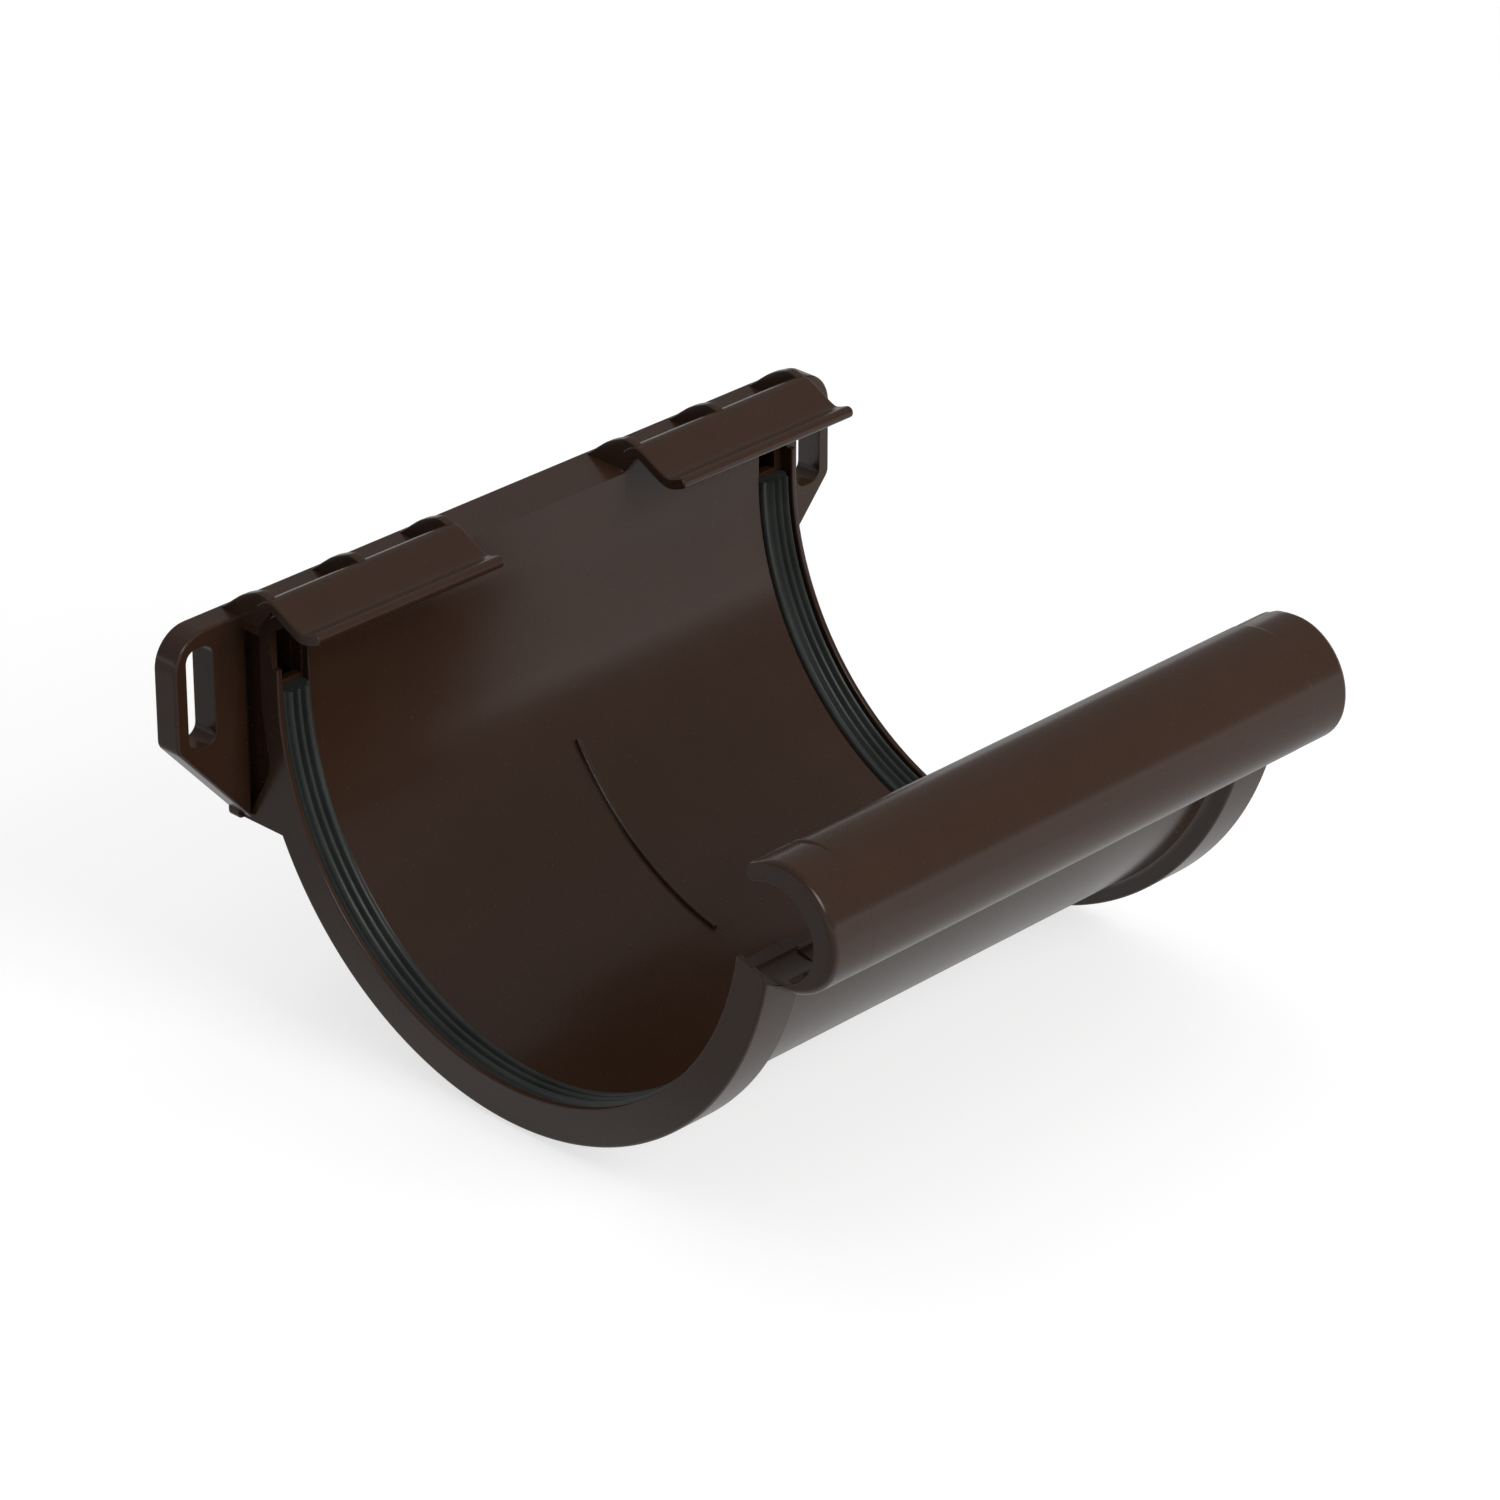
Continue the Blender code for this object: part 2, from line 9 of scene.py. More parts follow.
from __future__ import annotations

import json
import logging
import math
from dataclasses import dataclass, field
from enum import Enum

import bmesh
import bpy
from mathutils import Matrix, Vector

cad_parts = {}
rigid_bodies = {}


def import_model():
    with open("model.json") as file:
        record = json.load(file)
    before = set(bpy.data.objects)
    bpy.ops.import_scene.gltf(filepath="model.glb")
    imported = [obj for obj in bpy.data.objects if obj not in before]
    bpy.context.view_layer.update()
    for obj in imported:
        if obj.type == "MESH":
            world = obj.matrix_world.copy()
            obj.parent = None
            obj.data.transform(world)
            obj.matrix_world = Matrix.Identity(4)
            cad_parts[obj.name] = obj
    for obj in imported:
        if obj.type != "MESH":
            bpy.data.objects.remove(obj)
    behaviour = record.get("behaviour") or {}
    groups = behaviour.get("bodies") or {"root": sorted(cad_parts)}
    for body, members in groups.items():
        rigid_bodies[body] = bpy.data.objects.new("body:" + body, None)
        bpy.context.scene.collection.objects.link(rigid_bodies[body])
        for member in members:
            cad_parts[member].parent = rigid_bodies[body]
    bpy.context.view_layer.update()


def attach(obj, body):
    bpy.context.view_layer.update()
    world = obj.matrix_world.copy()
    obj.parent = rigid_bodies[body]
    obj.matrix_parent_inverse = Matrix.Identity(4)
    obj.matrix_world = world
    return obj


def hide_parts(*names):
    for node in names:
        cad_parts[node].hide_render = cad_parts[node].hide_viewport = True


LOG = logging.getLogger("gutter_union")

# Metres in a millimetre, and how far the wall is from the trough's axis, in millimetres.
MM = 0.001
WALL_FROM_AXIS = 78.4
# Points closer than this are one point, and edges shorter than the second are none.
SAME_POINT = 0.004
NO_EDGE = 0.002
# How far a solid that is added reaches into the one that it stands on.
OVERLAP = 0.5
# Rounds that find where a sloping wall top meets a radius.
SLOPE_ROUNDS = 12
# The left and the right end.
SIDES = (-1, 1)
# Least value that a mitre is divided by, which keeps sharp corners from shooting out.
LEAST_MITRE = 0.35
# Sockets of a Mix node that mixes colours, by number.
MIX_FACTOR, MIX_FIRST, MIX_SECOND, MIX_RESULT = 0, 6, 7, 2

Point = tuple[float, float]
Outline = list[Point]
Triple = tuple[float, float, float]
Colour = Triple


class Plane(Enum):
    """Plane that an outline lies in."""

    SECTION = "section"
    FRONT = "front"


class Join(Enum):
    """How a solid is put together with the body."""

    ADD = "UNION"
    CUT = "DIFFERENCE"


# Shader graph.


class Value:
    """Output of a shader node, with arithmetic that adds Math nodes."""

    def __init__(self, graph: Graph, socket: bpy.types.NodeSocket) -> None:
        """Keeps the graph and the output socket that carries the number."""
        self.graph = graph
        self.socket = socket

    def _math(self, operation: str, left: Value | float, right: Value | float) -> Value:
        """Adds one Math node and gives its result."""
        return self.graph.add("ShaderNodeMath", {0: left, 1: right}, operation=operation)

    def __add__(self, other: Value | float) -> Value:
        """Sum."""
        return self._math("ADD", self, other)

    def __radd__(self, other: float) -> Value:
        """Sum with a number on the left."""
        return self._math("ADD", other, self)

    def __rsub__(self, other: float) -> Value:
        """Difference with a number on the left."""
        return self._math("SUBTRACT", other, self)

    def __mul__(self, other: Value | float) -> Value:
        """Product."""
        return self._math("MULTIPLY", self, other)

    def over(self, low: float, high: float) -> Value:
        """Soft step from 0 below the low mark to 1 above the high mark."""
        inputs = {"Value": self, "From Min": low, "From Max": high}
        return self.graph.add("ShaderNodeMapRange", inputs, interpolation_type="SMOOTHSTEP")


class Graph:
    """Node tree of one material or world."""

    def __init__(self, tree: bpy.types.NodeTree) -> None:
        """Takes a node tree and empties it."""
        self.tree = tree
        tree.nodes.clear()

    def node(self, kind: str, inputs: dict | None = None, **settings: str) -> bpy.types.Node:
        """Adds a node, sets it up and feeds its sockets.

        Args:
            kind: Type name of the node.
            inputs: Values or links, by socket name or number.
            **settings: Properties of the node, set first.

        Returns:
            The new node.
        """
        made = self.tree.nodes.new(kind)
        for name, setting in settings.items():
            setattr(made, name, setting)
        for key, given in (inputs or {}).items():
            if isinstance(given, Value):
                self.tree.links.new(given.socket, made.inputs[key])
            else:
                made.inputs[key].default_value = given
        return made

    def add(self, kind: str, inputs: dict | None = None, output: int | str = 0, **settings: str) -> Value:
        """Adds a node like node() and gives the wanted one of its outputs."""
        return Value(self, self.node(kind, inputs, **settings).outputs[output])

    def mix(self, factor: Value | float, first: Value | Colour, second: Value | Colour) -> Value:
        """Mixes two colours.

        Args:
            factor: Share of the second colour.
            first: First colour.
            second: Second colour.

        Returns:
            The mixed colour.
        """
        def rgba(colour: Value | Colour) -> Value | tuple:
            """Colour with an alpha, where it is plain numbers."""
            return colour if isinstance(colour, Value) else (*colour, 1.0)

        inputs = {MIX_FACTOR: factor, MIX_FIRST: rgba(first), MIX_SECOND: rgba(second)}
        return self.add("ShaderNodeMix", inputs, MIX_RESULT, data_type="RGBA")

    def place(self, stretch: Triple = (1.0, 1.0, 1.0)) -> Value:
        """Position on the part in metres, scaled along each axis."""
        here = self.add("ShaderNodeTexCoord", output="Object")
        return self.add("ShaderNodeVectorMath", {0: here, 1: stretch}, operation="MULTIPLY")

    def noise(self, scale: float, detail: float, stretch: Triple = (1.0, 1.0, 1.0)) -> Value:
        """Soft noise from 0 to 1, by its repeats per metre and its number of finer layers."""
        inputs = {"Vector": self.place(stretch), "Scale": scale, "Detail": detail}
        return self.add("ShaderNodeTexNoise", inputs)


# Finishes.


@dataclass(frozen=True)
class Finish:
    """A grained, glossy material; each kind draws its own pattern."""

    name: str
    slot: str
    colour: Colour
    roughness: float
    ior: float
    grain_depth: Point  # Strength of the grain and its depth in metres.

    def pattern(self, graph: Graph) -> tuple[Value, Value, Value]:
        """Draws the colour, the roughness and the height of the grain."""
        raise NotImplementedError

    def material(self) -> bpy.types.Material:
        """Builds the material.

        Returns:
            The finished material.
        """
        made = bpy.data.materials.new(self.name)
        made.use_nodes = True
        graph = Graph(made.node_tree)
        colour, rough, grain = self.pattern(graph)
        strength, depth = self.grain_depth
        normal = graph.add("ShaderNodeBump", {"Strength": strength, "Distance": depth, "Height": grain})
        shader = graph.add("ShaderNodeBsdfPrincipled", {
            "Base Color": colour, "Roughness": rough, "Normal": normal, "IOR": self.ior})
        graph.node("ShaderNodeOutputMaterial", {"Surface": shader})
        made.diffuse_color = (*self.colour, 1.0)
        return made


@dataclass(frozen=True)
class MouldedPlastic(Finish):
    """Dark brown moulded plastic with flow marks, a fine grain and a little dust."""

    name: str = "dark_brown_plastic"
    slot: str = "brown_plastic"
    colour: Colour = (0.038, 0.0175, 0.0098)
    pale: Colour = (0.045, 0.0215, 0.0125)  # Its colour in flow marks.
    dust: Colour = (0.075, 0.052, 0.038)
    roughness: float = 0.19
    ior: float = 1.52
    grain_depth: Point = (0.08, 0.00003)

    def pattern(self, graph: Graph) -> tuple[Value, Value, Value]:
        """Draws flow marks along the gutter, cloudy patches, grain and specks of dust.

        Args:
            graph: Graph of the material.

        Returns:
            The colour, the roughness and the height of the grain.
        """
        flow = graph.noise(scale=24.0, detail=3.0, stretch=(0.3, 1.0, 1.0)).over(0.3, 0.75)
        cloud = graph.noise(scale=80.0, detail=5.0).over(0.25, 0.8)
        grain = graph.noise(scale=3400.0, detail=3.0)
        dust = graph.noise(scale=2300.0, detail=1.0).over(0.70, 0.80)
        colour = graph.mix(flow * 0.6 + cloud * 0.3, self.colour, self.pale)
        colour = graph.mix(dust * 0.15, colour, self.dust)
        rough = self.roughness + flow * 0.02 + cloud * 0.03 + grain * 0.02 + dust * 0.08
        return colour, rough, grain


@dataclass(frozen=True)
class SealRubber(Finish):
    """Dark grey-green soft rubber with a faint bloom."""

    name: str = "grey_green_rubber"
    slot: str = "seal_rubber"
    colour: Colour = (0.029, 0.034, 0.031)
    bloom: Colour = (0.060, 0.067, 0.062)
    roughness: float = 0.27
    ior: float = 1.5
    grain_depth: Point = (0.16, 0.0001)

    def pattern(self, graph: Graph) -> tuple[Value, Value, Value]:
        """Draws soft patches of bloom and the grain.

        Args:
            graph: Graph of the material.

        Returns:
            The colour, the roughness and the height of the grain.
        """
        patch = graph.noise(scale=60.0, detail=4.0).over(0.35, 0.8)
        grain = graph.noise(scale=3200.0, detail=2.0)
        colour = graph.mix(patch * 0.5 + grain * 0.12, self.colour, self.bloom)
        rough = self.roughness + patch * 0.12 + grain * 0.05
        return colour, rough, grain


# Outlines and solids.


def ramp(value: float, start: float, length: float) -> float:
    """Share, from 0 to 1, of the stretch from start on that a value has gone through."""
    return min(max((value - start) / length, 0.0), 1.0)


def eased(share: float) -> float:
    """The share with a gentle start and end."""
    return share * share * (3 - 2 * share)


def arc(radius: float, start: float, end: float, centre: Point = (0.0, 0.0),
        step: float = 2.0) -> Outline:
    """Points on a circle.

    Args:
        radius: Radius of the circle.
        start: First angle, in degrees.
        end: Last angle, in degrees.
        centre: Centre of the circle.
        step: Largest angle between points, in degrees.

    Returns:
        The points, both ends included.
    """
    count = max(2, math.ceil(abs(end - start) / step))
    angles = [math.radians(start + (end - start) * i / count) for i in range(count + 1)]
    return [(centre[0] + radius * math.cos(a), centre[1] + radius * math.sin(a)) for a in angles]


def smooth(points: Outline, per_span: int = 8) -> Outline:
    """Points along a smooth curve through the given ones.

    Args:
        points: Points that the curve passes through.
        per_span: Points for each span.

    Returns:
        The points of the curve.
    """
    path: Outline = []
    last = len(points) - 1
    for i in range(last):
        a, b = points[max(i - 1, 0)], points[i]
        c, d = points[i + 1], points[min(i + 2, last)]
        for k in range(per_span):
            t = k / per_span
            path.append(tuple(
                0.5 * (2 * b[n] + (c[n] - a[n]) * t
                       + (2 * a[n] - 5 * b[n] + 4 * c[n] - d[n]) * t ** 2
                       + (3 * b[n] - a[n] - 3 * c[n] + d[n]) * t ** 3) for n in range(2)))
    path.append(points[last])
    return path


def rounded(corners: list[Triple], step: float = 15.0) -> Outline:
    """Outline whose corners are rounded, each by its own radius.

    Args:
        corners: Corners as (u, v, radius).
        step: Largest angle between points of a round, in degrees.

    Returns:
        The outline.
    """
    outline: Outline = []
    for i, (u, v, radius) in enumerate(corners):
        here = Vector((u, v))
        before = Vector(corners[i - 1][:2]) - here
        after = Vector(corners[(i + 1) % len(corners)][:2]) - here
        if radius <= 0.0:
            outline.append((u, v))
            continue
        half = before.angle(after) / 2
        inwards = (before.normalized() + after.normalized()).normalized()
        centre = here + inwards * (radius / math.sin(half))
        start = here + before.normalized() * (radius / math.tan(half)) - centre
        end = here + after.normalized() * (radius / math.tan(half)) - centre
        first = math.degrees(math.atan2(start.y, start.x))
        turn = -math.degrees(start.angle_signed(end))
        outline += arc(radius, first, first + turn, tuple(centre), step)
    return outline


def area(outline: Outline) -> float:
    """Signed area of an outline."""
    following = outline[1:] + outline[:1]
    return sum(a[0] * b[1] - b[0] * a[1] for a, b in zip(outline, following)) / 2


def tidy(outline: Outline) -> Outline:
    """Drops points that repeat the one before and turns the outline anticlockwise."""
    kept = [p for i, p in enumerate(outline)
            if (Vector(p) - Vector(outline[i - 1])).length > SAME_POINT]
    return kept if area(kept) > 0 else kept[::-1]


def inset(outline: Outline, depth: float, shares: list[float] | None = None) -> Outline:
    """Moves an anticlockwise outline inwards.

    Args:
        outline: Outline to move.
        depth: How far it moves in.
        shares: Share of the depth for each point.

    Returns:
        The smaller outline.
    """
    moved: Outline = []
    for i, point in enumerate(outline):
        here = Vector(point)
        back = (here - Vector(outline[i - 1])).normalized()
        on = (Vector(outline[(i + 1) % len(outline)]) - here).normalized()
        one, two = Vector((-back.y, back.x)), Vector((-on.y, on.x))
        reach = (one + two) / max(1.0 + one.dot(two), LEAST_MITRE)
        moved.append(tuple(here + reach * depth * (shares[i] if shares else 1.0)))
    return moved


def object_from(name: str, shape: bmesh.types.BMesh) -> bpy.types.Object:
    """Closes a bmesh into an object with outward normals.

    Args:
        name: Name of the object.
        shape: Mesh, freed here.

    Returns:
        The object, linked to the scene.
    """
    bmesh.ops.recalc_face_normals(shape, faces=shape.faces)
    if shape.calc_volume(signed=True) < 0:
        bmesh.ops.reverse_faces(shape, faces=shape.faces)
    mesh = bpy.data.meshes.new(name)
    shape.to_mesh(mesh)
    shape.free()
    made = bpy.data.objects.new(name, mesh)
    bpy.context.scene.collection.objects.link(made)
    return made


def loft(name: str, rings: list[list[Vector]]) -> bpy.types.Object:
    """Closed solid through rings of points, capped at both ends.

    Args:
        name: Name of the object.
        rings: Rings with the same number of points, in millimetres.

    Returns:
        The object, in metres.
    """
    shape = bmesh.new()
    made = [[shape.verts.new(point * MM) for point in ring] for ring in rings]
    count = len(made[0])
    for low, high in zip(made, made[1:]):
        for i in range(count):
            k = (i + 1) % count
            shape.faces.new((low[i], low[k], high[k], high[i]))
    shape.faces.new(made[0][::-1])
    shape.faces.new(made[-1])
    return object_from(name, shape)


@dataclass
class Prism:
    """Outline carried along an axis, with rounded end edges."""

    outline: Outline
    low: float  # Start along the axis.
    high: float  # End along the axis.
    plane: Plane = Plane.SECTION
    rounds: Point = (0.0, 0.0)  # Edge radius at the start and at the end.
    shares: list[float] | None = None  # Share of the edge radius that each point takes.
    segments: int = 4

    def __post_init__(self) -> None:
        """Turns the prism round where its start lies beyond its end."""
        if self.low > self.high:
            self.low, self.high, self.rounds = self.high, self.low, self.rounds[::-1]

    def place(self, point: Point, along: float) -> Vector:
        """Point of the outline, put in the part's frame.

        Args:
            point: Point in the outline's plane.
            along: Place along the axis.

        Returns:
            The point, in millimetres.
        """
        if self.plane is Plane.SECTION:
            return Vector((along, point[0] - WALL_FROM_AXIS, point[1]))
        return Vector((point[0], along - WALL_FROM_AXIS, point[1]))

    def stations(self) -> list[Point]:
        """Finds the places along the axis that the solid is lofted through.

        Returns:
            Each place, with how far the outline is drawn in there.
        """
        places = []
        turns = [math.radians(90.0 * k / self.segments) for k in range(self.segments + 1)]
        ends = ((self.low, self.rounds[0], 1, turns[::-1]), (self.high, self.rounds[1], -1, turns))
        for end, radius, inwards, order in ends:
            if radius > 0:
                places += [(end + inwards * (radius * (1 - math.sin(t))), radius * (1 - math.cos(t)))
                           for t in order]
            else:
                places.append((end, 0.0))
        return places

    def build(self, name: str) -> bpy.types.Object:
        """Makes the solid under the given name."""
        rings = [[self.place(p, along) for p in inset(self.outline, depth, self.shares)]
                 for along, depth in self.stations()]
        return loft(name, rings)


@dataclass
class Step:
    """One solid and how it joins the body."""

    solid: bpy.types.Object
    join: Join = Join.ADD


def joined(base: bpy.types.Object, steps: list[Step]) -> bpy.types.Object:
    """Joins solids to a base, or cuts them from it, and removes them.

    Args:
        base: Solid that is worked on.
        steps: Solids in the order in which they are used.

    Returns:
        The base with its new mesh.
    """
    for step in steps:
        modifier = base.modifiers.new(step.solid.name, "BOOLEAN")
        modifier.operation = step.join.value
        modifier.solver = "EXACT"
        modifier.object = step.solid
    evaluated = base.evaluated_get(bpy.context.evaluated_depsgraph_get())
    mesh = bpy.data.meshes.new_from_object(evaluated)
    base.modifiers.clear()
    base.data = mesh
    for step in steps:
        bpy.data.objects.remove(step.solid, do_unlink=True)
    return base


def mirrored(outline: Outline) -> Outline:
    """The same outline on the other side of the middle plane."""
    return [(-u, v) for u, v in reversed(outline)]


def shaded(piece: bpy.types.Object, crease: float) -> None:
    """Shades a piece smooth, except at edges that turn more than the crease angle in degrees."""
    piece.data.shade_smooth()
    piece.data.set_sharp_from_angle(angle=math.radians(crease))


# Sub-assemblies.


@dataclass
class Trough:
    """Half-round trough with its end bands, end lips and seal grooves."""

    half_length: float = 73.5
    inner: float = 65.0  # Inner radius between the grooves.
    outer: float = 67.8  # Outer radius between the bands.
    lip: float = 63.5
    lip_width: float = 1.3
    band: float = 71.7
    back_band: float = 68.8  # Their outer radius behind the wall side.
    band_fade: Point = (-18.5, 2.5)  # Angle where they start to get lower there, and over how many degrees.
    band_width: float = 10.5
    flank: float = 0.6
    groove: float = 67.0
    groove_width: float = 8.2
    # Radii of the profile's corners, from the band's flank to the groove.
    corners: tuple[float, ...] = (1.6, 0.6, 0.7, 0.4, 0.35, 0.3, 0.3, 0.4)
    top: float = 15.0
    front_drop: float = 10.3  # How far below the axis the front wall ends.
    front_slope: float = 0.25
    groove_drop: float = 13.9  # How far below the axis the groove ends at the front.
    shelf: float = 12.1  # Underside of the strip that closes the groove at the back.
    plug_in: float = 0.3  # How far the plugs beyond the groove's ends reach into the wall.
    plug_drop: float = 0.06  # How far they stay below the top of the front wall, in degrees.
    arc_steps: int = 110
    wall_steps: int = 4

    def profile(self) -> Outline:
        """Draws the profile along the gutter.

        Returns:
            The profile, as (x, radius).
        """
        end, lip = self.half_length, self.half_length - self.lip_width
        band, groove = end - self.band_width, lip - self.groove_width
        places = [(band - self.flank, self.outer), (band, self.band), (end, self.band),
                  (end, self.lip), (lip, self.lip), (lip, self.groove), (groove, self.groove),
                  (groove, self.inner)]
        right = [(x, radius, corner) for (x, radius), corner in zip(places, self.corners)]
        left = [(-x, radius, corner) for x, radius, corner in right[::-1]]
        return tidy(rounded(right + left, step=22.5))

    def stations(self) -> list[Point]:
        """Places round the section, as (share of the arc, height above the axis)."""
        wall = [(1.0, self.top * i / self.wall_steps) for i in range(1, self.wall_steps + 1)]
        return [(i / self.arc_steps, 0.0) for i in range(self.arc_steps + 1)] + wall

    def front_angle(self, radius: float) -> float:
        """Angle where the front wall ends at a radius; its top slopes down outwards.

        Args:
            radius: Radius in the wall.

        Returns:
            The angle from the back, in degrees.
        """
        drop, edge = self.front_drop, math.sqrt(self.inner ** 2 - self.front_drop ** 2)
        for _ in range(SLOPE_ROUNDS):
            outwards = math.sqrt(radius ** 2 - drop ** 2) - edge
            drop = self.front_drop + self.front_slope * outwards
        return math.degrees(math.asin(drop / radius)) - 180.0

    def band_share(self, angle: float) -> float:
        """Share of its full rise that the band has at an angle in degrees, less at the back."""
        least = (self.back_band - self.outer) / (self.band - self.outer)
        return 1.0 + (least - 1.0) * ramp(angle, *self.band_fade)

    def shell(self) -> bpy.types.Object:
        """Sweeps the profile round the trough and up the back.

        Returns:
            The shell.
        """
        profile = self.profile()
        rings = []
        for share, height in self.stations():
            ring = []
            for x, radius in profile:
                angle = self.front_angle(radius) * (1.0 - share)
                if radius > self.outer:
                    radius = self.outer + (radius - self.outer) * self.band_share(angle)
                turn = math.radians(angle)
                ring.append(Vector((x, radius * math.cos(turn) - WALL_FROM_AXIS,
                                    radius * math.sin(turn) + height)))
            rings.append(ring)
        return loft("trough_shell", rings)

    def plugs(self) -> list[Step]:
        """Builds the solid parts of the wall beyond both ends of each groove.

        Returns:
            The solids to add.
        """
        low = self.half_length - self.lip_width - self.groove_width - self.plug_in
        high = self.half_length - 2 * self.plug_in
        behind, outside = self.groove + OVERLAP, self.outer - self.plug_in
        inner_from = self.front_angle(self.inner) + self.plug_drop
        outer_from = self.front_angle(behind) + self.plug_drop
        groove_end = math.degrees(math.asin(self.groove_drop / self.groove)) - 180.0
        front = tidy(arc(self.inner, inner_from, groove_end) + arc(behind, groove_end, outer_from))
        back = [(self.inner, self.shelf), (outside, self.shelf), (outside, self.top),
                (self.inner, self.top)]
        return [Step(Prism(outline, side * low, side * high).build(f"groove_{name}_{side}"))
                for side in SIDES for name, outline in (("front", front), ("back", back))]


@dataclass
class WallPlate:
    """Plate against the wall, its top strip and the webs to the trough.

    The webs stay clear of each other's planes, so each kind has its own small offsets: how far its
    lower edge is above the plate's, its top below the plate's top, and its back inside the plate.
    """

    trough: Trough
    half_length: float = 75.0
    thickness: float = 3.2
    corner: float = 1.2
    edge_round: float = 0.5  # Edge radius of plate and strip at the wall.
    strip: float = 2.9
    bottom: float = -31.8
    inside: float = 1.0  # How far the strip and the webs reach into the trough's wall.
    web: float = 2.2
    pitch: float = 21.0
    web_offsets: Triple = (0.06, 2.4, 0.5)
    closers: Point = (70.6, 71.4)  # Inner and outer face of the thin wall behind each end web.
    closer_offsets: Triple = (0.06, 2.5, 0.45)
    edge: Outline = field(default_factory=lambda: [  # Free edge of the end webs, as (y, z).
        (66.4, -11.0), (67.1, -15.5), (67.4, -18.8), (69.0, -22.2), (72.0, -27.2), (74.5, -31.2)])
    edge_top: Point = (67.9, 1.0)  # Place of its upper end, as (y, height above the first point).
    end_raised: float = 0.1  # How far the lower edge of an end web is above the plate's.
    end_sunk: float = 0.55  # How far its back is inside the plate.
    end_in: float = 0.02  # How far its face is inside the trough's end face.

    def steps(self) -> list[Step]:
        """Builds the plate, the strip and the webs, in this order."""
        return self.plates() + self.webs() + self.end_webs()

    def plates(self) -> list[Step]:
        """Builds the plate and the top strip.

        Returns:
            The solids to add.
        """
        top, half = self.trough.top, self.half_length
        plate = tidy(rounded([(-half, self.bottom, self.corner), (half, self.bottom, self.corner),
                              (half, top, 0.0), (-half, top, 0.0)]))
        front = WALL_FROM_AXIS - self.thickness
        wall_plate = Prism(plate, front, WALL_FROM_AXIS, Plane.FRONT, rounds=(0.25, self.edge_round))
        inner, under = self.trough.outer - self.inside, top - self.strip
        strip = tidy(rounded([(inner, under, 0.0), (WALL_FROM_AXIS, under, 0.0),
                              (WALL_FROM_AXIS, top, self.edge_round), (inner, top, 0.0)]))
        return [Step(wall_plate.build("wall_plate")),
                Step(Prism(strip, -half, half).build("top_strip"))]

    def section(self, ring: float, offsets: Triple) -> Outline:
        """Section of a web from the trough to the plate.

        Args:
            ring: Radius in the trough's wall where it starts.
            offsets: The offsets of its lower edge, its top and its back.

        Returns:
            The outline.
        """
        bottom, top = self.bottom + offsets[0], self.trough.top - offsets[1]
        back = WALL_FROM_AXIS - self.thickness + offsets[2]
        low = math.degrees(math.asin(bottom / ring))
        return tidy([(ring, top)] + arc(ring, 0.0, low) + [(back, bottom), (back, top)])

    def webs(self) -> list[Step]:
        """Builds the inner webs and the thin walls behind the end webs.

        Returns:
            The solids to add.
        """
        web = self.section(self.trough.outer - self.inside, self.web_offsets)
        closing = self.trough.half_length - self.trough.band_width + OVERLAP
        places = [-closing, *(self.pitch * k for k in range(-2, 3)), closing]
        steps = [Step(Prism(web, x - self.web / 2, x + self.web / 2).build(f"web_{index}"))
                 for index, x in enumerate(places)]
        closer = self.section(self.trough.groove + OVERLAP, self.closer_offsets)
        low, high = self.closers
        return steps + [Step(Prism(closer, side * low, side * high).build(f"closer_{side}"))
                        for side in SIDES]

    def end_webs(self) -> list[Step]:
        """Builds the curved webs at both ends.

        Returns:
            The solids to add.
        """
        front = WALL_FROM_AXIS - self.thickness
        ring, back = self.trough.groove + OVERLAP / 2, front + self.end_sunk
        bottom, top = self.bottom + self.end_raised, self.edge[0][1] + self.edge_top[1]
        first, low = (math.degrees(math.asin(height / ring)) for height in (top, bottom))
        foot = self.edge[-1][1]
        outline = tidy(arc(ring, first, low) + [(back, bottom), (back, foot)]
                       + smooth(self.edge, 5)[::-1] + [(self.edge_top[0], top)])
        shares = [float(math.hypot(y, z) > self.trough.back_band and z > foot + 0.1 and y < front)
                  for y, z in outline]
        end = self.trough.half_length - self.end_in
        return [Step(Prism(outline, side * end, side * (end - self.web), rounds=(0.3, 0.0),
                           shares=shares).build(f"end_web_{side}")) for side in SIDES]


